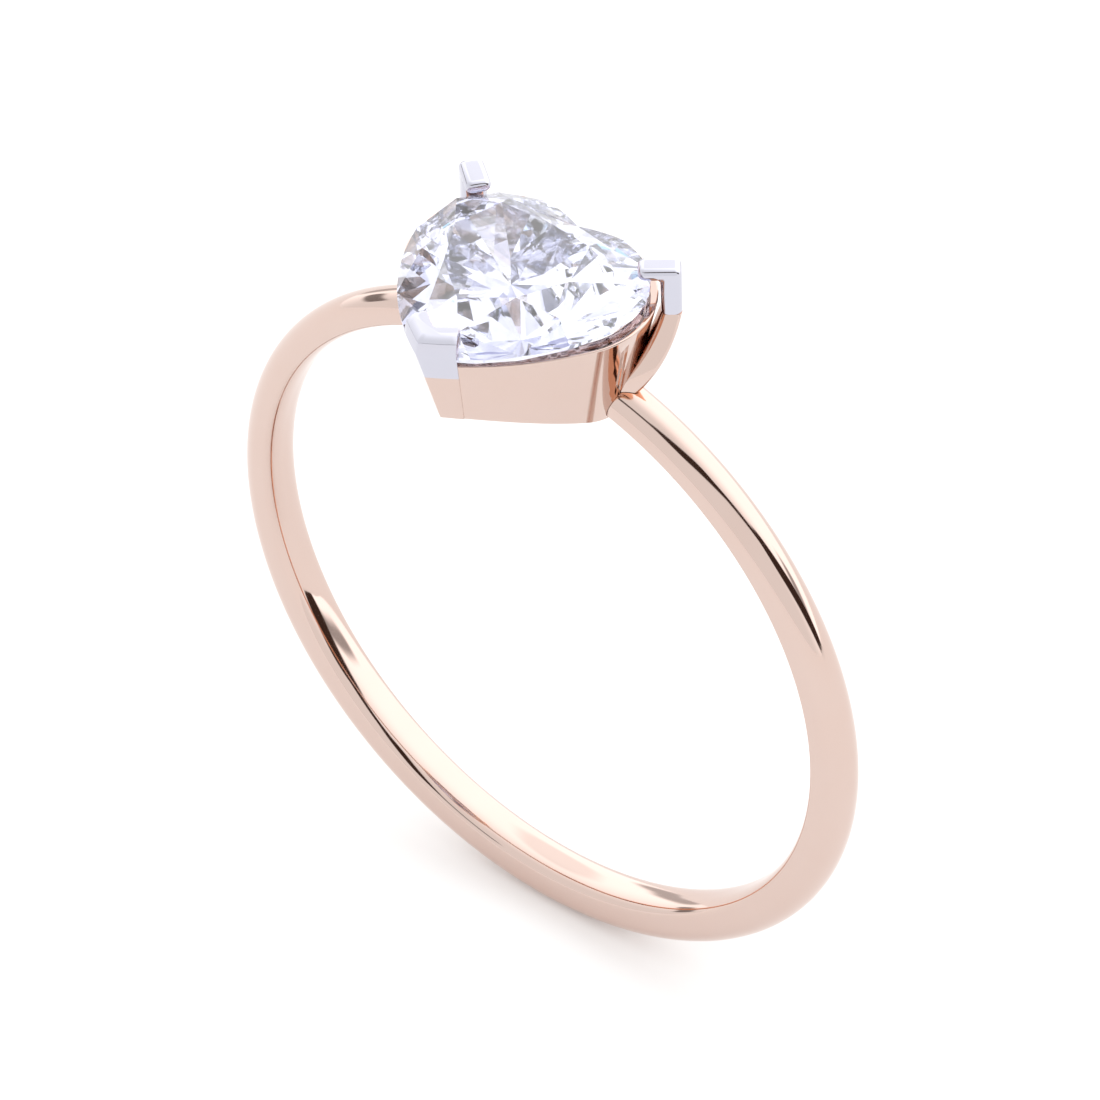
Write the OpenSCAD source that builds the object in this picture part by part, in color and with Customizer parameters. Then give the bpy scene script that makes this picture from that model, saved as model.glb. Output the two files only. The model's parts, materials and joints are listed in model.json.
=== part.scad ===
// Heart-cut solitaire ring: a slim shank, a tapered heart collet on its crest,
// a V-shaped prong at the stone's point, one swept prong behind each lobe, each
// prong with a white-gold claw, and a faceted heart brilliant.
// Frame: the finger runs along Y, the head stands up +Z, the stone's point faces -Y.

/* [Shank] */
// Radius of the finger hole
hole_r = 8.25; // [7:0.05:10]
// Width of the shank along the finger
band_w = 1.12; // [0.9:0.02:1.6]
// Thickness of the shank at the palm side
band_t_palm = 1.22; // [1:0.02:1.6]
// Thickness of the shank under the head
band_t_head = 0.84; // [0.7:0.02:1.2]
// Radius of the softened edges of the finger hole
comfort_r = 0.3; // [0.2:0.02:0.4]

/* [Stone] */
// Width of the stone across its lobes
stone_w = 6.04; // [5:0.02:7.5]
// Length of the stone from its point to the top of its lobes
stone_l = 6; // [5:0.02:7.2]
// Radius of the stone's lobes
lobe_r = 2.02; // [1.7:0.02:2.4]
// Radius of the stone's curved flanks
flank_r = 5.4; // [4.5:0.1:10]
// Thickness of the girdle
girdle_t = 0.12; // [0.06:0.01:0.2]
// Height of the crown
crown_h = 0.82; // [0.6:0.02:1.1]
// Depth of the pavilion
pavilion_h = 2.3; // [1.8:0.05:2.4]
// Size of the table as a share of the girdle
table_share = 0.58; // [0.5:0.01:0.66]
// Distance of the lobes' centres behind the middle of the shank
lobe_y = -0.16; // [-0.5:0.02:0.5]

/* [Collet] */
// Height of the collet's rim above the crest of the shank
collet_h = 1.66; // [1.4:0.02:2.2]
// Depth by which the collet's corner reaches below the crest of the shank
collet_drop = 0.34; // [0.2:0.02:0.5]
// Radius of the arch under the collet
arch_r = 4.2; // [4:0.1:5.4]
// Distance of the girdle above the collet's rim
girdle_lift = 0.2; // [0.14:0.02:0.5]
// Thickness of the collet's wall
collet_wall = 0.38; // [0.3:0.02:0.5]
// Amount by which the collet's lobes stand outside the stone
collet_margin = 0.18; // [0:0.02:0.3]
// Distance of the collet's corner behind the stone's point
v_inset = 0.04; // [-0.1:0.02:0.1]
// Radius of the collet's flanks
collet_flank_r = 8; // [6:0.5:14]
// Growth of the collet's outline with each millimetre of height
taper = 0.074; // [0:0.002:0.1]

/* [Prongs] */
// Length of each arm of the V prong, measured across the head
v_arm = 0.72; // [0.5:0.02:1]
// Amount by which the V prong stands proud of the collet
v_proud = 0.04; // [0.02:0.01:0.12]
// Amount by which the V claw laps over the stone
v_lap = 0.2; // [0.1:0.02:0.4]
// Width of a lobe prong along the rim
prong_w = 0.62; // [0.5:0.02:0.9]
// Depth of a lobe prong across the rim
prong_t = 0.5; // [0.4:0.02:0.7]
// Depth of a lobe prong across the rim at its foot
prong_foot_t = 0.74; // [0.5:0.02:0.9]
// Clear distance between the girdle and the inside of a lobe prong
prong_stand = 0.22; // [0.1:0.02:0.4]
// Radius of the rounded edges of a lobe prong
prong_edge = 0.14; // [0.08:0.01:0.18]
// Thickness of a lobe claw where it laps over the stone
claw_t = 0.34; // [0.3:0.02:0.5]
// Bearing of a lobe prong round its lobe
prong_angle = 38; // [25:1:50]
// Amount by which a lobe claw laps over the stone
claw_lap = 0.3; // [0.16:0.02:0.4]
// Height of the claws above the girdle
claw_rise = 0.55; // [0.4:0.02:0.8]
// Depth below the girdle at which white gold meets rose gold
colour_drop = 0.62; // [0.4:0.02:0.8]

/* [Fits] */
// Gap left between the stone and its seats
seat_gap = 0.02; // [0.01:0.005:0.05]
// Gap left for the solder between metal pieces
solder_gap = 0.02; // [0.01:0.005:0.04]

/* [Hidden] */
rose = [0.93, 0.71, 0.64];
white = [0.87, 0.87, 0.89];
ice = [0.86, 0.91, 0.97];
STEPS = 16;
far = 20;

// shank: the dome of the outside runs on a circle set below the finger hole's centre
dome_r = band_w / 2;
band_t = (band_t_palm + band_t_head) / 2;
band_drop = (band_t_palm - band_t_head) / 2;
dome_at = hole_r + band_t - dome_r;
band_top = hole_r + band_t_head;

// heights
collet_z = band_top - collet_drop;
rim_z = band_top + collet_h;
girdle_z = rim_z + girdle_lift;
girdle_top = girdle_z + girdle_t;
table_z = girdle_top + crown_h;
culet_z = girdle_z - pavilion_h;
claw_top = girdle_top + claw_rise;
colour_z = girdle_z - colour_drop;

// hearts: [lobe centre x, lobe centre y, lobe radius, y of the point, flank radius]
lobe_x = stone_w / 2 - lobe_r;
point_y = lobe_y + lobe_r - stone_l;
stone_heart = [lobe_x, lobe_y, lobe_r, point_y, flank_r];
collet_heart = [lobe_x, lobe_y, lobe_r + collet_margin, point_y + v_inset, collet_flank_r];
culet = [0, lobe_y - 0.7, culet_z];

// lobe prongs, measured on the right-hand one
prong_dir = [cos(prong_angle), sin(prong_angle)];
prong_ring = lobe_r + prong_stand + prong_t / 2;
prong_top = [lobe_x, lobe_y] + prong_ring * prong_dir;
foot_x = lobe_x + lobe_r - 0.45;
foot_z = sqrt(pow(band_top, 2) - pow(foot_x, 2)) - 0.12;

// ---------- outlines ----------

function on_arc(centre, r, a) = centre + r * [cos(a), sin(a)];

// Centre of the flank's arc, which touches the lobe's arc and ends at the point
function flank_centre(h) =
    let (
        lobe = [h[0], h[1]],
        d = norm([0, h[3]] - lobe),
        u = ([0, h[3]] - lobe) / d,
        reach = h[4] - h[2],
        along = (reach * reach - h[4] * h[4] + d * d) / (2 * d),
        across = sqrt(max(0, reach * reach - along * along))
    )
    lobe + along * u + across * [u[1], -u[0]];

// Right half of a heart from its cleft to its point, moved outward by grow
function heart_half(h, grow) =
    let (
        lobe = [h[0], h[1]],
        c = flank_centre(h),
        r = h[2] + grow,
        flank = h[4] + grow,
        a_cleft = 180 - acos(h[0] / r),
        a_join = atan2(lobe[1] - c[1], lobe[0] - c[0]),
        a_point = -acos(-c[0] / flank)
    )
    concat(
        [for (i = [0 : STEPS]) on_arc(lobe, r, a_cleft + (a_join - a_cleft) * i / STEPS)],
        [for (i = [1 : STEPS]) on_arc(c, flank, a_join + (a_point - a_join) * i / STEPS)]
    );

// Whole heart, clockwise from its cleft
function heart(h, grow = 0) =
    let (half = heart_half(h, grow), n = len(half))
    concat(half, [for (i = [n - 2 : -1 : 1]) [-half[i][0], half[i][1]]]);

// Share by which the head's outline has grown at a height
function spread(z) = 1 + taper * (z - rim_z);

function at_height(outline, z, s) = [for (p = outline) [s * p[0], s * p[1], z]];

// ---------- solids ----------

// Closed solid through rings of equal length, from the lowest to the highest
module loft(rings) {
    n = len(rings[0]);
    last = len(rings) - 1;
    points = [for (ring = rings) each ring];
    sides = [for (k = [0 : last - 1], i = [0 : n - 1])
        let (a = k * n + i, b = k * n + (i + 1) % n)
        each [[a, b, b + n], [a, b + n, a + n]]];
    bottom = [for (i = [n - 1 : -1 : 0]) i];
    top = [for (i = [0 : n - 1]) last * n + i];
    polyhedron(points, concat(sides, [bottom], [top]));
}

// Solid heart that widens with height, between two heights
module head_block(grow, z0, z1) {
    outline = heart(collet_heart, grow);
    loft([at_height(outline, z0, spread(z0)), at_height(outline, z1, spread(z1))]);
}

// Outline of the shank's cross-section at its thickness t, as [distance from the finger, y]
function band_section(t, grow) =
    let (r = dome_r + grow, mid = t - dome_r)
    concat(
        [[-grow, -r]],
        [for (a = [-90 : 15 : 90]) [mid + r * cos(a), r * sin(a)]],
        [[-grow, r]]
    );

// Stretch of the shank under the head, used to cut what sits on it
module band_cutter() {
    loft([for (a = [-30 : 2 : 30])
        let (t = band_t_head + band_drop * (1 - cos(a)), section = band_section(t, solder_gap))
        [for (p = section) [(hole_r + p[0]) * sin(a), p[1], (hole_r + p[0]) * cos(a)]]]);
}

// Bar along the finger whose top is an arch of radius r that peaks at height z
module arch_cutter(r, z) {
    top = [for (a = [-60 : 3 : 60]) [r * sin(a), z - r + r * cos(a)]];
    side = r * sin(60);
    ring = concat([[-side, -far]], top, [[side, -far]]);
    loft([[for (p = ring) [p[0], far, p[1]]], [for (p = ring) [p[0], -far, p[1]]]]);
}

// ---------- stone ----------

// Height of the plane through three points, above the place p
function plane_z(a, b, c, p) =
    let (n = cross(b - a, c - a))
    a[2] - (n[0] * (p[0] - a[0]) + n[1] * (p[1] - a[1])) / n[2];

// Where two sloping planes, each given as [point, normal], meet at height z
function meet(p, q, z) =
    let (
        dp = p[1] * p[0] - p[1][2] * z,
        dq = q[1] * q[0] - q[1][2] * z,
        det = p[1][0] * q[1][1] - p[1][1] * q[1][0]
    )
    [(dp * q[1][1] - dq * p[1][1]) / det, (p[1][0] * dq - q[1][0] * dp) / det, z];

// Plane of a main facet: level along the girdle, from a girdle point to an inner point
function main_plane(girdle, inner, bearing) =
    [girdle, cross([-sin(bearing), cos(bearing), 0], inner - girdle)];

module heart_brilliant(grow) {
    outline = heart(stone_heart, grow);
    n = len(outline);
    mains = 8;
    span = n / mains;
    half_span = span / 2;
    top = girdle_top + grow;
    low = girdle_z - grow;
    star_z = top + 0.55 * crown_h;
    lower_z = low - 0.76 * pavilion_h;
    tip = culet - [0, 0, 2 * grow];
    bearings = [for (k = [0 : mains - 1])
        let (i = k * span, before = outline[(i + n - 1) % n], after = outline[(i + 1) % n])
        atan2(before[0] - after[0], after[1] - before[1]) + 180];
    rim_mains = [for (k = [0 : mains - 1]) [each outline[k * span], 0]];
    table = [for (g = rim_mains)
        let (p = [culet[0], culet[1]] + table_share * ([g[0], g[1]] - [culet[0], culet[1]]))
        [p[0], p[1], table_z + grow]];
    crown_planes = [for (k = [0 : mains - 1])
        main_plane(rim_mains[k] + [0, 0, top], table[k], bearings[k])];
    base_planes = [for (k = [0 : mains - 1])
        main_plane(rim_mains[k] + [0, 0, low], tip, bearings[k])];
    stars = [for (k = [0 : mains - 1])
        meet(crown_planes[k], crown_planes[(k + 1) % mains], star_z)];
    lowers = [for (k = [0 : mains - 1])
        meet(base_planes[k], base_planes[(k + 1) % mains], lower_z)];
    upper_ring = [for (i = [0 : n - 1])
        let (
            k = floor(i / span),
            first = i - k * span <= half_span ? k * span : k * span + half_span,
            a = [each outline[first], top],
            b = [each outline[(first + half_span) % n], top]
        )
        [each outline[i], plane_z(stars[k], a, b, outline[i])]];
    lower_ring = [for (i = [0 : n - 1])
        let (
            k = floor(i / span),
            first = i - k * span <= half_span ? k * span : k * span + half_span,
            a = [each outline[first], low],
            b = [each outline[(first + half_span) % n], low]
        )
        [each outline[i], plane_z(lowers[k], a, b, outline[i])]];
    // point numbers of each group
    S = mains;
    U = 2 * mains;
    L = U + n;
    B = L + n;
    K = B + mains;
    points = concat(table, stars, upper_ring, lower_ring, lowers, [tip]);
    faces = concat(
        [[for (k = [0 : mains - 1]) k]],
        [for (k = [0 : mains - 1]) [k, S + k, (k + 1) % mains]],
        [for (k = [0 : mains - 1]) [k, S + (k + mains - 1) % mains, U + k * span]],
        [for (k = [0 : mains - 1]) [k, U + k * span, S + k]],
        [for (i = [0 : n - 1]) [S + floor(i / span), U + i, U + (i + 1) % n]],
        [for (i = [0 : n - 1]) each [
            [U + i, L + i, L + (i + 1) % n],
            [U + i, L + (i + 1) % n, U + (i + 1) % n]]],
        [for (i = [0 : n - 1]) [L + i, B + floor(i / span), L + (i + 1) % n]],
        [for (k = [0 : mains - 1]) [L + k * span, B + (k + mains - 1) % mains, K]],
        [for (k = [0 : mains - 1]) [L + k * span, K, B + k]]
    );
    polyhedron(points, faces);
}

module stone() {
    color(ice, 0.6) heart_brilliant(0);
}

// ---------- shank ----------

module shank() {
    color(rose)
    rotate([90, 0, 0])
    difference() {
        intersection() {
            // outside: a dome on the lower-set circle
            translate([0, -band_drop, 0])
            rotate_extrude($fn = 180)
            union() {
                translate([dome_at, 0]) circle(r = dome_r, $fn = 48);
                translate([hole_r / 2, -dome_r]) square([dome_at - hole_r / 2, band_w]);
            }
            // inside: softened edges that follow the finger hole
            rotate_extrude($fn = 180)
            union() {
                translate([hole_r + comfort_r, dome_r - comfort_r + 0.01])
                    circle(r = comfort_r, $fn = 32);
                translate([hole_r + comfort_r, comfort_r - dome_r - 0.01])
                    circle(r = comfort_r, $fn = 32);
                translate([hole_r / 2, comfort_r - dome_r - 0.01])
                    square([hole_r / 2 + 2 * comfort_r, band_w - 2 * comfort_r + 0.02]);
                translate([hole_r + comfort_r, -dome_r - 0.01])
                    square([2 * band_t_palm, band_w + 0.02]);
            }
        }
        cylinder(h = 2 * band_w, r = hole_r, center = true, $fn = 180);
    }
}

// ---------- head ----------

// Wall of the head between two heights, grown outward by proud
module head_wall(proud, z0, z1) {
    difference() {
        head_block(proud, z0, z1);
        head_block(-collet_wall, z0 - 1, z1 + 1);
    }
}

// The corner of the head that the V prong takes: its ends are square to the flanks
module corner_block() {
    flank = [for (p = heart_half(collet_heart, 0)) if (p[1] < lobe_y) p];
    n = len(flank);
    along = flank[n - 2] - flank[n - 1];
    across = [along[1], -along[0]] / norm(along);
    end = [v_arm, point_y + v_inset + v_arm * along[1] / along[0]];
    outside = end + across;
    inside = end - across * v_arm / across[0];
    linear_extrude(height = far)
        polygon([inside, [-outside[0], outside[1]], [0, outside[1] - 1], outside]);
}

module collet() {
    color(rose)
    difference() {
        head_wall(0, collet_z - 1, rim_z);
        corner_block();
        arch_cutter(arch_r, collet_z);
        arch_cutter(hole_r + solder_gap, hole_r + solder_gap);
        band_cutter();
        heart_brilliant(seat_gap);
        prong_stem(solder_gap);
        mirror([1, 0, 0]) prong_stem(solder_gap);
    }
}

module v_prong() {
    color(rose)
    difference() {
        intersection() {
            head_wall(v_proud, collet_z - 1, colour_z);
            corner_block();
        }
        arch_cutter(arch_r, collet_z);
        heart_brilliant(seat_gap);
    }
}

module v_claw() {
    bend_z = girdle_top + 0.12;
    outline = heart(collet_heart, v_proud);
    color(white)
    difference() {
        intersection() {
            loft([
                at_height(outline, colour_z, spread(colour_z)),
                at_height(outline, bend_z, spread(bend_z)),
                at_height(outline, claw_top - 0.12, spread(bend_z) - 0.02),
                at_height(outline, claw_top, spread(bend_z) - 0.07)
            ]);
            corner_block();
        }
        head_block(-collet_wall, colour_z - 1, girdle_z);
        head_block(-collet_wall - v_lap, girdle_z - 0.5, claw_top + 1);
        heart_brilliant(seat_gap);
    }
}

// Rounded slab across the left prong: c is its centre, w its width, t its depth, h its height
module prong_slab(c, w, t, h = 2 * prong_edge) {
    e = prong_edge;
    layers = h > 2 * e ? [e - h / 2, h / 2 - e] : [0];
    translate([-c[0], c[1], c[2]])
    rotate([0, 0, 180 - prong_angle])
    for (x = [e - t / 2, t / 2 - e], y = [e - w / 2, w / 2 - e], z = layers)
        translate([x, y, z]) sphere(r = e, $fn = 16);
}

function curve(p, q, r, u) = (1 - u) * (1 - u) * p + 2 * u * (1 - u) * q + u * u * r;

// Level rounded rectangle about c, turned to face the lobe: w along the rim, t across it
function prong_outline(c, w, t) =
    let (e = prong_edge)
    [for (q = [0 : 3], a = [0 : 22.5 : 90])
        let (
            turn = 180 - prong_angle,
            x = (q == 0 || q == 3 ? 1 : -1) * (t / 2 - e) + e * cos(90 * q + a),
            y = (q < 2 ? 1 : -1) * (w / 2 - e) + e * sin(90 * q + a)
        )
        [x * cos(turn) - y * sin(turn) - c[0], x * sin(turn) + y * cos(turn) + c[1], c[2]]];

// Stem of the left lobe prong, swept up from the shank's crest to behind the lobe
module prong_stem(grow) {
    foot = [foot_x, 0.02, foot_z];
    head = [prong_top[0], prong_top[1], colour_z];
    bow = [prong_top[0] + 0.18, 0.5 * prong_top[1] - 0.1, (foot_z + colour_z) / 2 - 0.1];
    parts = 8;
    rings = [for (k = [0 : parts])
        let (u = k / parts, w = prong_w * (0.92 + 0.08 * u), t = prong_foot_t * (1 - u) + prong_t * u)
        prong_outline(curve(foot, bow, head, u), w + 2 * grow, t + 2 * grow)];
    loft([for (ring = rings) [for (i = [len(ring) - 1 : -1 : 0]) ring[i]]]);
}

module lobe_prong_left() {
    color(rose)
    difference() {
        prong_stem(0);
        band_cutter();
        heart_brilliant(seat_gap);
    }
}

module lobe_claw_left() {
    top_z = claw_top - claw_t / 2;
    nose_w = prong_w - 0.08;
    nose_t = 0.4;
    inward = prong_ring - lobe_r + claw_lap - nose_t / 2;
    back = [prong_top[0], prong_top[1], top_z];
    nose = [prong_top[0] - inward * prong_dir[0], prong_top[1] - inward * prong_dir[1], top_z];
    color(white)
    difference() {
        union() {
            hull() {
                prong_slab([prong_top[0], prong_top[1], colour_z], prong_w, prong_t);
                prong_slab(back, nose_w, prong_t, claw_t);
            }
            hull() {
                prong_slab(back, nose_w, prong_t, claw_t);
                prong_slab(nose, nose_w, nose_t, claw_t);
            }
        }
        translate([-far, -far, colour_z - far]) cube([2 * far, 2 * far, far]);
        heart_brilliant(seat_gap);
    }
}

module lobe_prong_right() {
    mirror([1, 0, 0]) lobe_prong_left();
}

module lobe_claw_right() {
    mirror([1, 0, 0]) lobe_claw_left();
}

shank();
collet();
v_prong();
v_claw();
lobe_prong_left();
lobe_prong_right();
lobe_claw_left();
lobe_claw_right();
stone();
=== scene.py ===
"""Looks of a rose-gold ring with a heart-cut stone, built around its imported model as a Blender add-on."""
import json
from math import acos, atan2, cos, hypot, pi, radians, sin, sqrt
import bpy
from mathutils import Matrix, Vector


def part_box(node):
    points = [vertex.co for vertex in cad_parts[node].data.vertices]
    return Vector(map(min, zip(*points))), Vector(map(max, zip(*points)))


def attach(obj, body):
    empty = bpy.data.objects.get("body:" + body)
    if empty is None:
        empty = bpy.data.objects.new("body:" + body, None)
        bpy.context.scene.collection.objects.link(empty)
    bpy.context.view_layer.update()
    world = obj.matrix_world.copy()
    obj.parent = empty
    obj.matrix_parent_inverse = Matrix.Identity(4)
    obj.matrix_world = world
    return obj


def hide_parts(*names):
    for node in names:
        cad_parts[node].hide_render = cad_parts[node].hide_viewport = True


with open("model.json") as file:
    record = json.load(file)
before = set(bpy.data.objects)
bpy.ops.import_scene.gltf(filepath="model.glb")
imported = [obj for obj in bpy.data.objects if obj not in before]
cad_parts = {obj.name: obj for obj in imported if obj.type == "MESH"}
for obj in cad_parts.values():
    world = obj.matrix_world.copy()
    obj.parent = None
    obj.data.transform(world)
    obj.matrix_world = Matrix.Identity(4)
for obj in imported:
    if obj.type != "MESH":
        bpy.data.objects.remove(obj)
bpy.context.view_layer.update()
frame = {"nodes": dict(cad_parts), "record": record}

from types import SimpleNamespace

import bmesh
import bpy
from bpy.props import FloatProperty, FloatVectorProperty, PointerProperty, StringProperty
from mathutils import Matrix, Vector

bl_info = {
    "name": "Heart solitaire ring",
    "version": (1, 0, 0),
    "blender": (4, 5, 0),
    "location": "View3D > Sidebar > Ring",
    "description": "Builds the pieces, metals, stone and studio of a heart solitaire ring",
    "category": "Object",
}

MM = 0.001
HOLE_R = frame["record"]["mounts"][0]["dims"]["r_mm"]
SHANK_LOW, SHANK_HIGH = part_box("shank")
STONE_LOW, STONE_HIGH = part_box("stone")
BAND_TOP = SHANK_HIGH.z / MM
BAND_BOTTOM = -SHANK_LOW.z / MM
# Reach of the cutters, well past the ring, in millimetres
FAR = 20.0

# How finely round shapes are divided
RING_STEPS = 288
HEART_STEPS = 48
DOME_STEPS = 24
COMFORT_STEPS = 12
STEM_STEPS = 24
ARCH_STEPS = 80
RIM_STEPS = 4

# Half-angle of the stretch of shank that the head is notched over, and of the arches, in degrees
NOTCH_HALF_ANGLE = 34
ARCH_HALF_ANGLE = 60

# The light tent, by direction. A gap between panels has a start and an end as (azimuth, elevation)
# in degrees, a half-width, a softness and a depth.
GAPS = (
    ((-15, 48), (25, 50), 0.05, 0.03, 0.9),
    ((25, 50), (62, 52), 0.10, 0.05, 1.0),
    ((62, 52), (92, 27), 0.07, 0.04, 1.0),
    ((92, 27), (106, 6), 0.16, 0.06, 1.0),
    ((106, 6), (126, 14), 0.04, 0.12, 0.75),
    ((-114, 2), (-128, 7), 0.05, 0.10, 0.65),
    ((-78, 8), (-98, 8), 0.04, 0.04, 0.8),
    ((-140, 41), (-140, 45), 0.16, 0.14, 0.22),
)
GAP_TINT = "#45342D"
# The tent runs from its front's brightness to its back's between these two, as direction along Y
FRONT_ENDS, BACK_STARTS = -0.35, 0.6
# Gold that faces gold deepens by this
GOLD_ON_GOLD = "#FFCEAE"
# What the stone gathers: dark gaps, dim and bright panels, a few cool panes; each from this share on
ROOM = (
    (0.0, "#20213F"), (0.05, "#A9ABC9"), (0.11, "#D3D4E9"), (0.30, "#F3F4FC"),
    (0.92, "#A5DCFA"), (0.95, "#EDEEFB"),
)
# Panels of that room for each unit of direction: each is about 20 degrees across
ROOM_SCALE = 3.2


# ---------- sizes and colours a user would change ----------

def length(label, about, millimetres):
    return FloatProperty(
        name=label, description=about, default=millimetres * MM, unit="LENGTH", precision=5
    )


def finish_colour(label, about, hex_code):
    return StringProperty(name=label, description=about + ", as sRGB hex", default=hex_code)


class ShankSizes(bpy.types.PropertyGroup):
    comfort_w: length("Comfort width", "Width of the softened edges of the finger hole", 0.5)
    comfort_h: length("Comfort depth", "Depth of the softened edges of the finger hole", 0.22)


class HeadSizes(bpy.types.PropertyGroup):
    stone_w: length("Stone width", "Width of the stone across its lobes", 6.04)
    stone_l: length("Stone length", "Length of the stone from its point to its lobes", 6.0)
    lobe_r: length("Lobe radius", "Radius of the stone's lobes", 2.02)
    lobe_y: length("Lobe centres", "Distance of the lobes' centres behind the shank's middle", -0.16)
    girdle_t: length("Girdle", "Thickness of the stone's girdle", 0.12)
    collet_h: length("Collet height", "Height of the collet's rim above the shank's crest", 1.66)
    collet_drop: length("Collet drop", "Depth of the collet's corner below the crest", 0.34)
    arch_r: length("Arch radius", "Radius of the arch under the collet", 4.2)
    girdle_lift: length("Girdle lift", "Distance of the girdle above the collet's rim", 0.2)
    collet_wall: length("Collet wall", "Thickness of the collet's wall", 0.38)
    collet_margin: length("Lobe margin", "Distance of the collet's lobes outside the stone", 0.18)
    collet_flank_r: length("Flank radius", "Radius of the collet's flanks", 8.0)
    v_inset: length("Corner inset", "Distance of the collet's corner behind the stone's point", 0.04)
    taper: FloatProperty(
        name="Taper", description="Growth of the head's outline per millimetre of height", default=0.074
    )
    polish_r: length("Polished edge", "Radius that polishing leaves on the collet's rim", 0.05)
    seat_gap: FloatProperty(
        name="Seat gap", description="How much larger than the stone its seat is, as a share", default=0.007
    )


class ProngSizes(bpy.types.PropertyGroup):
    v_arm: length("V arm", "Length of each arm of the V prong across the head", 0.72)
    v_proud: length("V proud", "Amount by which the V prong stands proud of the collet", 0.04)
    v_lap: length("V lap", "Amount by which the V claw laps over the stone", 0.2)
    prong_w: length("Prong width", "Width of a lobe prong along the rim", 0.62)
    prong_t: length("Prong depth", "Depth of a lobe prong across the rim", 0.5)
    prong_foot_t: length("Foot depth", "Depth of a lobe prong at its foot", 0.74)
    foot_inset: length("Foot inset", "Distance of a lobe prong's foot inside the lobe's side", 0.45)
    foot_sink: length("Foot sink", "Depth of a lobe prong's foot below the shank's crest", 0.12)
    foot_back: length("Foot setback", "Distance of a lobe prong's foot behind the shank's middle", 0.02)
    bow_out: length("Bow", "Distance by which a lobe prong bows outward of its top", 0.18)
    bow_low: length("Bow drop", "Distance of the bow in front of and below halfway", 0.1)
    prong_stand: length("Prong stand", "Clear distance between the girdle and a lobe prong", 0.22)
    prong_edge: length("Prong edge", "Radius of the rounded edges of a lobe prong", 0.14)
    claw_t: length("Claw thickness", "Thickness of a lobe claw where it laps over the stone", 0.34)
    claw_lap: length("Claw lap", "Amount by which a lobe claw laps over the stone", 0.3)
    claw_rise: length("Claw rise", "Height of the claws above the girdle", 0.55)
    v_bend: length("V bend", "Height over the girdle, and depth under the top, where the V claw bends", 0.12)
    v_polish: length("V polish", "Radius that polishing leaves on the V prong", 0.03)
    v_claw_polish: length("V claw polish", "Radius that polishing leaves on the V claw", 0.08)
    colour_drop: length("Colour line", "Depth below the girdle where white gold meets rose gold", 0.62)
    solder: length("Solder gap", "Gap left for the solder between metal pieces", 0.02)
    prong_angle: FloatProperty(
        name="Prong bearing", description="Bearing of a lobe prong round its lobe",
        default=radians(38), subtype="ANGLE",
    )


class Finishes(bpy.types.PropertyGroup):
    rose: finish_colour("Rose gold", "Colour of the rose gold at normal incidence", "#D5C0B7")
    white: finish_colour("White gold", "Colour of the rhodium-plated white gold", "#CBCBD6")
    stone: finish_colour("Stone", "Body colour of the stone", "#F9FAFF")
    floor: finish_colour("Floor", "Colour of the studio's floor", "#FBFBFB")
    rose_roughness: FloatProperty(
        name="Rose gold roughness", description="Roughness of the polished rose gold", default=0.07
    )
    white_roughness: FloatProperty(
        name="White gold roughness", description="Roughness of the polished claws", default=0.09
    )


class StudioSizes(bpy.types.PropertyGroup):
    lens: length("Lens", "Focal length of the camera", 293.0)
    distance: length("Camera distance", "Distance of the camera from its target", 214.7)
    azimuth: FloatProperty(name="Azimuth", description="Bearing of the camera round the ring",
                           default=radians(40.38), subtype="ANGLE")
    elevation: FloatProperty(name="Elevation", description="Height of the camera above the horizon",
                             default=radians(42.58), subtype="ANGLE")
    roll: FloatProperty(name="Roll", description="Roll of the camera about its view",
                        default=radians(-2.06), subtype="ANGLE")
    target: FloatVectorProperty(name="Target", description="Point the camera looks at", size=3,
                                default=(-0.549 * MM, 0.841 * MM, 1.084 * MM), unit="LENGTH",
                                precision=5)
    front: FloatProperty(name="Tent front", description="Brightness of the tent's front", default=1.1)
    room: FloatProperty(name="Room", description="Brightness that the stone gathers", default=1.34)
    even: FloatProperty(name="Even light", description="Brightness that the paper gathers", default=1.6)
    back: FloatProperty(name="Tent back", description="Brightness of the tent's back", default=1.9)


def in_millimetres(group):
    """The group's values by name, its lengths turned into millimetres."""
    values = {}
    for prop in group.bl_rna.properties:
        if prop.identifier in ("rna_type", "name"):
            continue
        value = getattr(group, prop.identifier)
        values[prop.identifier] = value / MM if prop.unit == "LENGTH" and not prop.is_array else value
    return values


def ring_sizes():
    """All sizes of the ring in millimetres, with the heights and places worked out from them."""
    scene = bpy.context.scene
    s = SimpleNamespace(
        **in_millimetres(scene.ring_shank), **in_millimetres(scene.ring_head),
        **in_millimetres(scene.ring_prongs),
    )
    s.band_w = (SHANK_HIGH.y - SHANK_LOW.y) / MM
    s.dome_r = s.band_w / 2
    s.collet_z = BAND_TOP - s.collet_drop
    s.rim_z = BAND_TOP + s.collet_h
    s.girdle_z = s.rim_z + s.girdle_lift
    s.girdle_top = s.girdle_z + s.girdle_t
    s.claw_top = s.girdle_top + s.claw_rise
    s.colour_z = s.girdle_z - s.colour_drop
    lobe_x = s.stone_w / 2 - s.lobe_r
    s.lobe = Vector((lobe_x, s.lobe_y))
    s.point_y = s.lobe_y + s.lobe_r - s.stone_l
    s.collet_heart = (s.lobe, s.lobe_r + s.collet_margin, s.point_y + s.v_inset, s.collet_flank_r)
    s.prong_dir = Vector((cos(s.prong_angle), sin(s.prong_angle)))
    s.prong_ring = s.lobe_r + s.prong_stand + s.prong_t / 2
    s.prong_top = s.lobe + s.prong_ring * s.prong_dir
    s.foot_x = lobe_x + s.lobe_r - s.foot_inset
    s.foot_z = sqrt(BAND_TOP ** 2 - s.foot_x ** 2) - s.foot_sink
    return s


# ---------- outlines ----------

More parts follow.
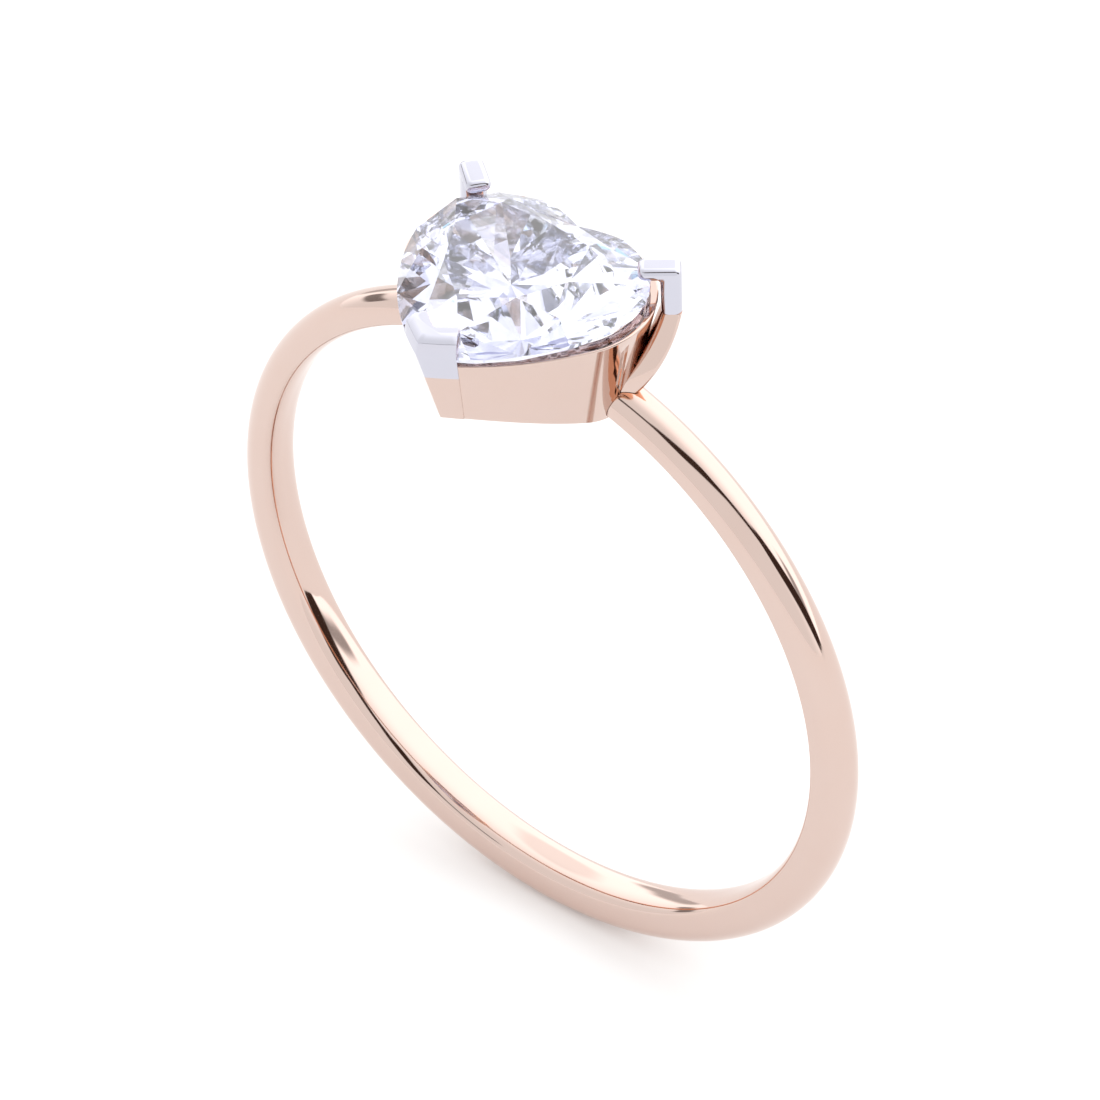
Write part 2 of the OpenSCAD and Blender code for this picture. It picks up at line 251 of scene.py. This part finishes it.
def on_arc(centre, radius, angle):
    return centre + radius * Vector((cos(angle), sin(angle)))


def heart(shape, grow=0.0, steps=HEART_STEPS):
    """Outline of a heart, clockwise from its cleft, moved outward by grow."""
    lobe, lobe_r, point_y, flank_r = shape
    point = Vector((0, point_y))
    span = (point - lobe).length
    toward = (point - lobe) / span
    reach = flank_r - lobe_r
    along = (reach ** 2 - flank_r ** 2 + span ** 2) / (2 * span)
    across = sqrt(max(0.0, reach ** 2 - along ** 2))
    centre = lobe + along * toward + across * Vector((toward.y, -toward.x))
    r, flank = lobe_r + grow, flank_r + grow
    cleft = pi - acos(lobe.x / r)
    join = atan2(lobe.y - centre.y, lobe.x - centre.x)
    tip = -acos(-centre.x / flank)
    half = [on_arc(lobe, r, cleft + (join - cleft) * i / steps) for i in range(steps + 1)]
    half += [on_arc(centre, flank, join + (tip - join) * i / steps) for i in range(1, steps + 1)]
    return half + [Vector((-p.x, p.y)) for p in reversed(half[1:-1])]


def level(outline, z, scale=1.0):
    return [(p.x * scale, p.y * scale, z) for p in outline]


def head_ring(s, grow, z):
    """The head's outline at a height: it spreads upwards as the collet does."""
    return level(heart(s.collet_heart, grow), z, 1 + s.taper * (z - s.rim_z))


def curve_point(start, bow, end, u):
    return (1 - u) ** 2 * start + 2 * u * (1 - u) * bow + u ** 2 * end


# ---------- meshes, made in millimetres ----------

def new_piece(name, points, faces):
    mesh = bpy.data.meshes.new(name)
    mesh.from_pydata(points, [], faces)
    tidy = bmesh.new()
    tidy.from_mesh(mesh)
    bmesh.ops.recalc_face_normals(tidy, faces=tidy.faces)
    tidy.to_mesh(mesh)
    tidy.free()
    piece = bpy.data.objects.new(name, mesh)
    bpy.context.scene.collection.objects.link(piece)
    return piece


def skin(name, rings, closed_loop=False):
    """A solid through rings of equal length. A closed loop joins the last ring to the first."""
    n = len(rings[0])
    count = len(rings)
    points = [p for ring in rings for p in ring]
    faces = []
    for k in range(count if closed_loop else count - 1):
        a, b = k * n, (k + 1) % count * n
        faces += [(a + i, a + (i + 1) % n, b + (i + 1) % n, b + i) for i in range(n)]
    if not closed_loop:
        faces += [tuple(range(n)), tuple(range((count - 1) * n, count * n))]
    return new_piece(name, points, faces)


def cut(piece, *cutters, operation="DIFFERENCE"):
    """Booleans the piece with each cutter and removes the cutters."""
    for cutter in cutters:
        boolean = piece.modifiers.new(operation.lower(), "BOOLEAN")
        boolean.operation = operation
        boolean.solver = "EXACT"
        boolean.object = cutter
        apply_modifiers(piece)
        bpy.data.objects.remove(cutter)


def apply_modifiers(piece):
    bpy.context.view_layer.update()
    shaped = piece.evaluated_get(bpy.context.evaluated_depsgraph_get())
    mesh = bpy.data.meshes.new_from_object(shaped)
    piece.modifiers.clear()
    piece.data = mesh


def round_edges(piece, radius, flat_z=None, steepest=radians(40), segments=3):
    """Rounds the sharp edges, apart from those that lie in the joint plane flat_z."""
    shape = bmesh.new()
    shape.from_mesh(piece.data)
    bmesh.ops.remove_doubles(shape, verts=shape.verts, dist=0.002)
    bmesh.ops.dissolve_limit(shape, angle_limit=radians(0.4), verts=shape.verts, edges=shape.edges)
    weight = shape.edges.layers.float.new("bevel_weight_edge")
    for edge in shape.edges:
        in_joint = flat_z is not None and all(abs(v.co.z - flat_z) < 0.01 for v in edge.verts)
        sharp = len(edge.link_faces) == 2 and edge.calc_face_angle(0) > steepest
        edge[weight] = 1.0 if sharp and not in_joint else 0.0
    shape.to_mesh(piece.data)
    shape.free()
    bevel = piece.modifiers.new("polished edges", "BEVEL")
    bevel.limit_method = "WEIGHT"
    bevel.width = radius
    bevel.segments = segments
    bevel.use_clamp_overlap = True
    apply_modifiers(piece)


def hand_over(piece, material, slot, *nodes, smooth_below=radians(32)):
    """Turns the finished mesh into metres, gives it its finish, and puts it in the CAD nodes' place."""
    piece.data.transform(Matrix.Scale(MM, 4))
    piece.data.shade_smooth()
    piece.data.set_sharp_from_angle(angle=smooth_below)
    piece.data.materials.clear()
    piece.data.materials.append(material)
    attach(piece, "root")
    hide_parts(*nodes)


def band_ring(s, angle, grow=0.0):
    """Cross-section of the shank at an angle from its top: a dome outside, softened edges inside.

    The shank grows from its thickness at the top to that at the bottom with the angle's cosine."""
    thickness = (BAND_TOP + BAND_BOTTOM) / 2 - HOLE_R - (BAND_BOTTOM - BAND_TOP) / 2 * cos(angle)
    dome = thickness - s.dome_r
    half = [(0.0, 0.0)]
    half += [
        (s.comfort_h * (1 - cos(a)), s.dome_r - s.comfort_w * (1 - sin(a)))
        for a in (pi / 2 * i / COMFORT_STEPS for i in range(COMFORT_STEPS + 1))
    ]
    half += [
        (dome + s.dome_r * sin(a), s.dome_r * cos(a))
        for a in (pi / 2 * i / DOME_STEPS for i in range(1, DOME_STEPS + 1))
    ]
    full = half + [(r, -y) for r, y in reversed(half[1:-1])]
    middle = thickness / 2
    ring = []
    for r, y in full:
        out = Vector((r - middle, y))
        out += out.normalized() * grow
        radius = HOLE_R + middle + out.x
        ring.append((radius * sin(angle), out.y, radius * cos(angle)))
    return ring


def band(s):
    return skin("shank_polished", [band_ring(s, 2 * pi * k / RING_STEPS) for k in range(RING_STEPS)], True)


def band_cutter(s):
    """The stretch of the shank under the head, a solder gap larger all round."""
    angles = [radians(a) for a in range(-NOTCH_HALF_ANGLE, NOTCH_HALF_ANGLE + 1)]
    return skin("band_cutter", [band_ring(s, a, s.solder) for a in angles])


def arch_cutter(radius, top_z, name):
    """A bar along the finger whose top is an arch."""
    half = radians(ARCH_HALF_ANGLE)
    arch = [
        (radius * sin(a), top_z - radius + radius * cos(a))
        for a in (half * (2 * i / ARCH_STEPS - 1) for i in range(ARCH_STEPS + 1))
    ]
    profile = [(arch[0][0], -FAR)] + arch + [(arch[-1][0], -FAR)]
    return skin(name, [[(x, y, z) for x, z in profile] for y in (-FAR, FAR)])


def stone_cutter():
    """The stone, a seat gap larger, in millimetres."""
    grown = 1 + bpy.context.scene.ring_head.seat_gap
    shape = bmesh.new()
    shape.from_mesh(frame["nodes"]["stone"].data)
    bmesh.ops.remove_doubles(shape, verts=shape.verts, dist=2e-7)
    middle = (STONE_LOW + STONE_HIGH) / 2
    mesh = bpy.data.meshes.new("stone_cutter")
    bmesh.ops.recalc_face_normals(shape, faces=shape.faces)
    shape.to_mesh(mesh)
    shape.free()
    mesh.transform(Matrix.Translation(middle / MM) @ Matrix.Scale(grown / MM, 4)
                   @ Matrix.Translation(-middle))
    cutter = bpy.data.objects.new("stone_cutter", mesh)
    bpy.context.scene.collection.objects.link(cutter)
    return cutter


def corner_cutter(s):
    """The corner of the head that the V prong takes: its ends are square to the flanks."""
    flank = [p for p in heart(s.collet_heart)[: 2 * HEART_STEPS + 1] if p.y < s.lobe_y]
    along = flank[-2] - flank[-1]
    across = Vector((along.y, -along.x)).normalized()
    end = Vector((s.v_arm, s.point_y + s.v_inset + s.v_arm * along.y / along.x))
    outside = end + across
    inside = end - across * s.v_arm / across.x
    kite = [inside, outside, Vector((0, outside.y - 1)), Vector((-outside.x, outside.y))]
    return skin("corner_cutter", [level(kite, 0), level(kite, FAR)])


def wall(s, name, grow, low_z, top_z, polish=0.0):
    """The head's wall as a closed strip, its rim rounded by polishing."""
    corner = [
        (polish * (1 - cos(a)), top_z - polish * (1 - sin(a)))
        for a in (pi / 2 * i / RIM_STEPS for i in range(RIM_STEPS + 1))
    ]
    path = [(grow, low_z)]
    path += [(grow - back, z) for back, z in corner]
    path += [(back - s.collet_wall, z) for back, z in reversed(corner)]
    path += [(-s.collet_wall, low_z)]
    # without polish, the steps of a corner fall on one another
    kept = [path[0]]
    for step in path[1:]:
        if hypot(step[0] - kept[-1][0], step[1] - kept[-1][1]) > 1e-4:
            kept.append(step)
    return skin(name, [head_ring(s, across, z) for across, z in kept], True)


def stem(s, side, name, grow=0.0):
    """A lobe prong's stem, swept up from the shank's crest to behind the lobe."""
    foot = Vector((s.foot_x, s.foot_back, s.foot_z))
    head = Vector((s.prong_top.x, s.prong_top.y, s.colour_z))
    bow = Vector((s.prong_top.x + s.bow_out, s.prong_top.y / 2 - s.bow_low,
                  (s.foot_z + s.colour_z) / 2 - s.bow_low))
    narrowest = 0.92
    rings = []
    for k in range(STEM_STEPS + 1):
        u = k / STEM_STEPS
        w = s.prong_w * (narrowest + (1 - narrowest) * u) + 2 * grow
        t = s.prong_foot_t * (1 - u) + s.prong_t * u + 2 * grow
        centre = curve_point(foot, bow, head, u)
        ring = []
        for x, y in rounded(t, w, s.prong_edge):
            turned = Matrix.Rotation(s.prong_angle, 2) @ Vector((x, y))
            ring.append((side * (centre.x + turned.x), centre.y + turned.y, centre.z))
        rings.append(ring)
    return skin(name, rings)


def rounded(depth, width, radius, steps=6):
    """Rounded rectangle about the origin."""
    corners = [(1, 1), (-1, 1), (-1, -1), (1, -1)]
    return [
        (cx * (depth / 2 - radius) + radius * cos(pi / 2 * (q + i / steps)),
         cy * (width / 2 - radius) + radius * sin(pi / 2 * (q + i / steps)))
        for q, (cx, cy) in enumerate(corners) for i in range(steps + 1)
    ]


# ---------- materials ----------

def to_linear(hex_code):
    """Linear RGBA of an sRGB hex colour."""
    channels = [int(hex_code[i:i + 2], 16) / 255 for i in (1, 3, 5)]
    return tuple(c / 12.92 if c <= 0.04045 else ((c + 0.055) / 1.055) ** 2.4 for c in channels) + (1.0,)


def node(tree, kind, settings=(), **links):
    """Adds a node. A setting goes to the input of that name, or else to the node itself."""
    made = tree.nodes.new(kind)
    for name, value in dict(settings).items():
        if isinstance(name, int) or name in made.inputs:
            made.inputs[name].default_value = value
        else:
            setattr(made, name, value)
    for name, source in links.items():
        key = int(name[1:]) if name[1:].isdigit() else name.replace("_", " ")
        tree.links.new(source, made.inputs[key])
    return made


def new_material(name):
    material = bpy.data.materials.new(name)
    material.use_nodes = True
    material.node_tree.nodes.clear()
    return material, material.node_tree


def object_millimetres(tree):
    """Object coordinates in millimetres."""
    place = node(tree, "ShaderNodeTexCoord")
    return node(tree, "ShaderNodeVectorMath", {"operation": "SCALE", "Scale": 1 / MM},
                i0=place.outputs["Object"]).outputs[0]


def polished_metal(name, hex_code, roughness, warm):
    """A cast and buffed gold alloy: the mop leaves fine hairlines and a slow haze that stirs reflections."""
    material, tree = new_material(name)
    place = object_millimetres(tree)
    # buffing haze: patches about 1 mm across
    haze = node(tree, "ShaderNodeTexNoise", {"Scale": 0.9, "Detail": 3.0, "Roughness": 0.55}, Vector=place)
    # hairlines are about 0.01 mm apart; drawn at 0.06 mm so that they show
    stretched = node(tree, "ShaderNodeVectorMath", {"operation": "MULTIPLY", 1: (16.0, 2.0, 16.0)},
                     i0=place)
    hairlines = node(tree, "ShaderNodeTexNoise", {"Scale": 1.0, "Detail": 2.0},
                     Vector=stretched.outputs[0])
    mixed = node(tree, "ShaderNodeMath", {"operation": "MULTIPLY_ADD", 1: 0.35},
                 i0=hairlines.outputs["Fac"], i2=haze.outputs["Fac"])
    rough = node(tree, "ShaderNodeMapRange",
                 {"From Min": 0.45, "From Max": 0.95, "To Min": roughness * 0.6, "To Max": roughness * 1.6},
                 Value=mixed.outputs[0])
    base = to_linear(hex_code)
    deeper = tuple(c * k for c, k in zip(base, warm)) + (1.0,)
    colour = node(tree, "ShaderNodeMix", {"data_type": "RGBA", 6: base, 7: deeper},
                  Factor=haze.outputs["Fac"])
    bump = node(tree, "ShaderNodeBump", {"Strength": 0.004, "Distance": 0.02 * MM},
                Height=mixed.outputs[0])
    shader = node(tree, "ShaderNodeBsdfPrincipled", {"Metallic": 1.0},
                  Base_Color=colour.outputs[2], Roughness=rough.outputs[0], Normal=bump.outputs[0])
    node(tree, "ShaderNodeOutputMaterial", Surface=shader.outputs[0])
    return material


def rose_gold():
    """Rose gold, cast and polished: pale pink in the light and deep orange where it faces itself."""
    look = bpy.context.scene.ring_finishes
    return shared("rose_gold_polished", polished_metal, look.rose, look.rose_roughness, (0.99, 0.965, 0.95))


def white_gold():
    """White gold, rhodium plated and polished: a cool grey-white mirror."""
    look = bpy.context.scene.ring_finishes
    return shared("white_gold_rhodium", polished_metal, look.white, look.white_roughness, (0.97, 0.97, 0.98))


def shared(name, maker, *values):
    return bpy.data.materials.get(name) or maker(name, *values)


def cut_stone():
    """A colourless faceted stone, cut and lapped: clear, with crisp flat facets and a trace of polish."""
    material, tree = new_material("stone_faceted")
    place = object_millimetres(tree)
    # lapping leaves nearly nothing: a faint change of gloss over about 0.5 mm
    lapping = node(tree, "ShaderNodeTexNoise", {"Scale": 2.0, "Detail": 1.0}, Vector=place)
    gloss = node(tree, "ShaderNodeMapRange", {"To Min": 0.0, "To Max": 0.05}, Value=lapping.outputs["Fac"])
    # the pavilion throws the light back up: met from inside, it acts as a mirror
    facing = node(tree, "ShaderNodeNewGeometry")
    inward = node(tree, "ShaderNodeSeparateXYZ", Vector=facing.outputs["True Normal"])
    upward = node(tree, "ShaderNodeMath", {"operation": "GREATER_THAN", 1: 0.1}, i0=inward.outputs["Z"])
    mirror = node(tree, "ShaderNodeMath", {"operation": "MULTIPLY"}, i0=upward.outputs[0],
                  i1=facing.outputs["Backfacing"])
    thrown_back = 0.6
    share = node(tree, "ShaderNodeMath", {"operation": "MULTIPLY", 1: thrown_back}, i0=mirror.outputs[0])
    shader = node(tree, "ShaderNodeBsdfPrincipled",
                  {"Base Color": to_linear(bpy.context.scene.ring_finishes.stone),
                   "Transmission Weight": 1.0, "IOR": 2.42},
                  Roughness=gloss.outputs[0], Metallic=share.outputs[0])
    node(tree, "ShaderNodeOutputMaterial", Surface=shader.outputs[0])
    return material


def seamless_paper():
    """Seamless studio paper, matt and nearly white."""
    material, tree = new_material("studio_paper")
    place = object_millimetres(tree)
    grain = node(tree, "ShaderNodeTexNoise", {"Scale": 0.05, "Detail": 2.0}, Vector=place)
    paper = to_linear(bpy.context.scene.ring_finishes.floor)
    tone = node(tree, "ShaderNodeMix", {"data_type": "RGBA", 6: paper, 7: tuple(c * 0.985 for c in paper)},
                Factor=grain.outputs["Fac"])
    shader = node(tree, "ShaderNodeBsdfPrincipled", {"Roughness": 0.9, "Specular IOR Level": 0.2},
                  Base_Color=tone.outputs[2])
    node(tree, "ShaderNodeOutputMaterial", Surface=shader.outputs[0])
    return material


# ---------- operators ----------

class BuildShank(bpy.types.Operator):
    """Makes the domed shank with its comfort-softened finger hole"""
    bl_idname = "ring.build_shank"
    bl_label = "Shank"

    def execute(self, context):
        hand_over(band(ring_sizes()), rose_gold(), "rose_gold", "shank")
        return {"FINISHED"}


class BuildCollet(bpy.types.Operator):
    """Makes the tapered heart collet, arched underneath and notched over the shank"""
    bl_idname = "ring.build_collet"
    bl_label = "Collet"

    def execute(self, context):
        s = ring_sizes()
        collet = wall(s, "collet_polished", 0.0, s.collet_z - 1, s.rim_z, s.polish_r)
        cut(collet, corner_cutter(s), arch_cutter(s.arch_r, s.collet_z, "arch_cutter"),
            arch_cutter(HOLE_R + s.solder, HOLE_R + s.solder, "hole_cutter"), band_cutter(s),
            stem(s, 1, "right_notch", s.solder), stem(s, -1, "left_notch", s.solder), stone_cutter())
        hand_over(collet, rose_gold(), "rose_gold", "collet")
        return {"FINISHED"}


class BuildVProng(bpy.types.Operator):
    """Makes the V-shaped corner of the head in rose gold and the white-gold claw on it"""
    bl_idname = "ring.build_v_prong"
    bl_label = "V prong and claw"

    def execute(self, context):
        s = ring_sizes()
        prong = wall(s, "v_prong_polished", s.v_proud, s.collet_z - 1, s.colour_z)
        cut(prong, corner_cutter(s), operation="INTERSECT")
        cut(prong, arch_cutter(s.arch_r, s.collet_z, "arch_cutter"), stone_cutter())
        round_edges(prong, s.v_polish, flat_z=s.colour_z, segments=2)
        hand_over(prong, rose_gold(), "rose_gold", "v_prong")

        claw = self.claw(s)
        cut(claw, corner_cutter(s), operation="INTERSECT")
        cut(claw, stone_cutter())
        round_edges(claw, s.v_claw_polish, flat_z=s.colour_z)
        hand_over(claw, white_gold(), "white_gold", "v_claw")
        return {"FINISHED"}

    @staticmethod
    def claw(s):
        """The head's wall above the colour line, bent inward over the stone."""
        bend_z = s.girdle_top + s.v_bend
        widest = 1 + s.taper * (bend_z - s.rim_z)
        lean, close = 0.02, 0.07
        inner = -s.collet_wall
        plate = inner - s.v_lap
        outline = heart(s.collet_heart, s.v_proud)
        rings = [
            head_ring(s, s.v_proud, s.colour_z),
            head_ring(s, s.v_proud, bend_z),
            level(outline, s.claw_top - s.v_bend, widest - lean),
            level(outline, s.claw_top, widest - close),
            head_ring(s, plate, s.claw_top),
            head_ring(s, plate, s.girdle_z),
            head_ring(s, inner, s.girdle_z),
            head_ring(s, inner, s.colour_z),
        ]
        return skin("v_claw_polished", rings, True)


class BuildLobeProngs(bpy.types.Operator):
    """Makes the two swept prongs behind the lobes and their white-gold claws"""
    bl_idname = "ring.build_lobe_prongs"
    bl_label = "Lobe prongs and claws"

    def execute(self, context):
        s = ring_sizes()
        for side, word in ((-1, "left"), (1, "right")):
            prong = stem(s, side, f"lobe_prong_{word}_polished")
            cut(prong, band_cutter(s))
            hand_over(prong, rose_gold(), "rose_gold", f"lobe_prong_{word}")
            claw = self.claw(s, side, f"lobe_claw_{word}_polished")
            round_edges(claw, s.prong_edge * 1.2, flat_z=s.colour_z, segments=5)
            cut(claw, stone_cutter())
            hand_over(claw, white_gold(), "white_gold", f"lobe_claw_{word}")
        return {"FINISHED"}

    @staticmethod
    def claw(s, side, name):
        """An upright that bends over the lobe, drawn from the side and given its width."""
        nose = s.prong_ring - s.lobe_r + s.claw_lap
        under = s.claw_top - s.claw_t
        profile = [
            (s.prong_t / 2, s.colour_z), (s.prong_t / 2, s.claw_top), (-nose, s.claw_top),
            (-nose, under), (-s.prong_t / 2, under), (-s.prong_t / 2, s.colour_z),
        ]
        turn = Matrix.Rotation(s.prong_angle, 2)
        rings = []
        for y in (-s.prong_w / 2, s.prong_w / 2):
            ring = []
            for x, z in profile:
                turned = turn @ Vector((x, y))
                ring.append((side * (s.prong_top.x + turned.x), s.prong_top.y + turned.y, z))
            rings.append(ring)
        return skin(name, rings)


class BuildStone(bpy.types.Operator):
    """Keeps the heart brilliant's own facets flat and gives it its finish"""
    bl_idname = "ring.build_stone"
    bl_label = "Stone"

    def execute(self, context):
        stone = new_stone()
        stone.data.materials.append(cut_stone())
        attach(stone, "root")
        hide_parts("stone")
        return {"FINISHED"}


def new_stone():
    """The heart brilliant with one flat face for each facet."""
    shape = bmesh.new()
    shape.from_mesh(frame["nodes"]["stone"].data)
    bmesh.ops.remove_doubles(shape, verts=shape.verts, dist=2e-7)
    bmesh.ops.recalc_face_normals(shape, faces=shape.faces)
    mesh = bpy.data.meshes.new("stone_cut")
    shape.to_mesh(mesh)
    shape.free()
    mesh.shade_flat()
    stone = bpy.data.objects.new("stone_cut", mesh)
    bpy.context.scene.collection.objects.link(stone)
    return stone


def toward(azimuth, elevation):
    """Unit vector at a bearing round the ring, counted from -Y towards +X, and a height above level."""
    return Vector((cos(elevation) * sin(azimuth), -cos(elevation) * cos(azimuth), sin(elevation)))


class BuildStudio(bpy.types.Operator):
    """Sets the paper floor, the white light tent, a soft lamp and the camera"""
    bl_idname = "ring.build_studio"
    bl_label = "Studio"

    def execute(self, context):
        look = context.scene.ring_studio
        self.floor()
        self.tent(context.scene, look)
        self.lamp(context.scene)
        self.camera(context.scene, look)
        context.scene.view_settings.view_transform = "Standard"
        # a cut stone passes light round inside itself many times
        for limit in ("max_bounces", "glossy_bounces", "transmission_bounces"):
            setattr(context.scene.cycles, limit, 16)
        return {"FINISHED"}

    @staticmethod
    def floor():
        half, thickness = 300.0, 1.0
        corners = ((-half, -half), (half, -half), (half, half), (-half, half))
        floor = skin("studio_floor", [
            [(x, y, -BAND_BOTTOM - drop) for x, y in corners] for drop in (0.0, thickness)
        ])
        floor.data.transform(Matrix.Scale(MM, 4))
        floor.data.materials.append(seamless_paper())

    def tent(self, scene, look):
        """A white tent round the ring. The gaps between its panels show in the metal as dark lines."""
        world = bpy.data.worlds.new("light_tent")
        scene.world = world
        world.use_nodes = True
        tree = world.node_tree
        tree.nodes.clear()
        place = node(tree, "ShaderNodeTexCoord")
        axes = node(tree, "ShaderNodeSeparateXYZ", Vector=place.outputs["Generated"])
        # brighter behind and above the ring than on the camera's side
        behind = node(tree, "ShaderNodeMapRange",
                      {"From Min": FRONT_ENDS, "From Max": BACK_STARTS,
                       "To Min": look.front, "To Max": look.back,
                       "interpolation_type": "SMOOTHSTEP"}, Value=axes.outputs["Y"])
        dark = node(tree, "ShaderNodeValue")
        dark.outputs[0].default_value = 0.0
        for start, end, half_width, softness, depth in GAPS:
            gap = self.gap(tree, place.outputs["Generated"], start, end, half_width, softness, depth)
            dark = node(tree, "ShaderNodeMath", {"operation": "MAXIMUM"}, i0=dark.outputs[0], i1=gap)
        tent = node(tree, "ShaderNodeCombineColor", Red=behind.outputs[0], Green=behind.outputs[0],
                    Blue=behind.outputs[0])
        shade = node(tree, "ShaderNodeMix", {"data_type": "RGBA", 7: to_linear(GAP_TINT)},
                     Factor=dark.outputs[0], i6=tent.outputs[0])
        # what the stone gathers from the room
        cells = node(tree, "ShaderNodeTexVoronoi", {"Scale": ROOM_SCALE, "Randomness": 1.0},
                     Vector=place.outputs["Generated"])
        grey = node(tree, "ShaderNodeSeparateColor", Color=cells.outputs["Color"])
        room = node(tree, "ShaderNodeValToRGB", Fac=grey.outputs[0])
        ramp = room.color_ramp
        ramp.interpolation = "CONSTANT"
        for share, _ in ROOM[2:]:
            ramp.elements.new(share)
        for element, (share, hex_code) in zip(ramp.elements, ROOM):
            element.position = share
            element.color = to_linear(hex_code)
        path = node(tree, "ShaderNodeLightPath")
        through = node(tree, "ShaderNodeMath", {"operation": "GREATER_THAN", 1: 0.5},
                       i0=path.outputs["Transmission Depth"])
        # gold that faces gold deepens to orange
        again = node(tree, "ShaderNodeMath", {"operation": "GREATER_THAN", 1: 1.5},
                     i0=path.outputs["Glossy Depth"])
        deepened = node(tree, "ShaderNodeMix",
                        {"data_type": "RGBA", "blend_type": "MULTIPLY", 7: to_linear(GOLD_ON_GOLD)},
                        Factor=again.outputs[0], i6=shade.outputs[2])
        seen = node(tree, "ShaderNodeMix", {"data_type": "RGBA"}, Factor=through.outputs[0],
                    i6=deepened.outputs[2], i7=room.outputs[0])
        strength = node(tree, "ShaderNodeMapRange", {"To Min": 1.0, "To Max": look.room},
                        Value=through.outputs[0])
        glow = node(tree, "ShaderNodeBackground", Color=seen.outputs[2], Strength=strength.outputs[0])
        # matt surfaces gather an even light, so that the paper stays white up to the ring
        even = node(tree, "ShaderNodeBackground", {"Strength": look.even})
        gathered = node(tree, "ShaderNodeMixShader", Fac=path.outputs["Is Diffuse Ray"],
                        i1=glow.outputs[0], i2=even.outputs[0])
        node(tree, "ShaderNodeOutputWorld", Surface=gathered.outputs[0])
        # the tent shows each kind of ray something else, so it is only met by rays and never sampled
        world.cycles.sampling_method = "NONE"

    @staticmethod
    def gap(tree, direction, start, end, half_width, softness, depth):
        """How much a gap between two bearings darkens a direction, from 0 to depth."""
        a, b = (toward(*map(radians, bearing)) for bearing in (start, end))
        from_a = node(tree, "ShaderNodeVectorMath", {"operation": "SUBTRACT", 1: a}, i0=direction)
        reach = node(tree, "ShaderNodeVectorMath",
                     {"operation": "DOT_PRODUCT", 1: (b - a) / (b - a).length_squared}, i0=from_a.outputs[0])
        share = node(tree, "ShaderNodeClamp", Value=reach.outputs["Value"])
        along = node(tree, "ShaderNodeVectorMath", {"operation": "SCALE", 0: b - a}, Scale=share.outputs[0])
        off = node(tree, "ShaderNodeVectorMath", {"operation": "DISTANCE"},
                   i0=from_a.outputs[0], i1=along.outputs[0])
        return node(tree, "ShaderNodeMapRange",
                    {"From Min": half_width, "From Max": half_width + softness, "To Min": depth,
                     "To Max": 0.0, "interpolation_type": "SMOOTHSTEP"},
                    Value=off.outputs["Value"]).outputs[0]

    @staticmethod
    def lamp(scene):
        """A large, weak lamp overhead, a little to the left. It isn't seen in the metal or the stone."""
        light = bpy.data.lights.new("soft_box", "AREA")
        light.shape = "DISK"
        light.size = 160 * MM
        light.energy = 0.01
        lamp = bpy.data.objects.new("soft_box", light)
        lamp.location = Vector((-90, 60, 190)) * MM
        lamp.rotation_euler = (-lamp.location).to_track_quat("-Z", "Y").to_euler()
        lamp.visible_glossy = False
        lamp.visible_transmission = False
        scene.collection.objects.link(lamp)

    @staticmethod
    def camera(scene, look):
        data = bpy.data.cameras.new("camera")
        data.lens = look.lens / MM
        data.sensor_width = 36.0
        data.clip_start = 10 * MM
        data.clip_end = 10.0
        camera = bpy.data.objects.new("camera", data)
        back = toward(look.azimuth, look.elevation)
        turn = back.to_track_quat("Z", "Y").to_matrix() @ Matrix.Rotation(look.roll, 3, "Z")
        place = Vector(look.target) + back * look.distance
        camera.matrix_world = Matrix.Translation(place) @ turn.to_4x4()
        scene.collection.objects.link(camera)
        scene.camera = camera


OPERATORS = (BuildShank, BuildCollet, BuildVProng, BuildLobeProngs, BuildStone, BuildStudio)
GROUPS = {
    "ring_shank": ShankSizes,
    "ring_head": HeadSizes,
    "ring_prongs": ProngSizes,
    "ring_finishes": Finishes,
    "ring_studio": StudioSizes,
}


class RingPanel(bpy.types.Panel):
    """Lists the ring's sizes, finishes and builders"""
    bl_idname = "VIEW3D_PT_heart_ring"
    bl_label = "Heart solitaire ring"
    bl_space_type = "VIEW_3D"
    bl_region_type = "UI"
    bl_category = "Ring"

    def draw(self, context):
        for operator in OPERATORS:
            self.layout.operator(operator.bl_idname)
        for name in GROUPS:
            group = getattr(context.scene, name)
            box = self.layout.box()
            for prop in group.bl_rna.properties:
                if prop.identifier not in ("rna_type", "name"):
                    box.prop(group, prop.identifier)


def register():
    for name, group in GROUPS.items():
        bpy.utils.register_class(group)
        setattr(bpy.types.Scene, name, PointerProperty(type=group))
    for shown in (*OPERATORS, RingPanel):
        bpy.utils.register_class(shown)


def unregister():
    for shown in (RingPanel, *OPERATORS):
        bpy.utils.unregister_class(shown)
    for name, group in GROUPS.items():
        delattr(bpy.types.Scene, name)
        bpy.utils.unregister_class(group)


def main():
    register()
    for operator in OPERATORS:
        family, action = operator.bl_idname.split(".")
        getattr(getattr(bpy.ops, family), action)()
    bpy.context.view_layer.update()


if __name__ == "__main__":
    main()
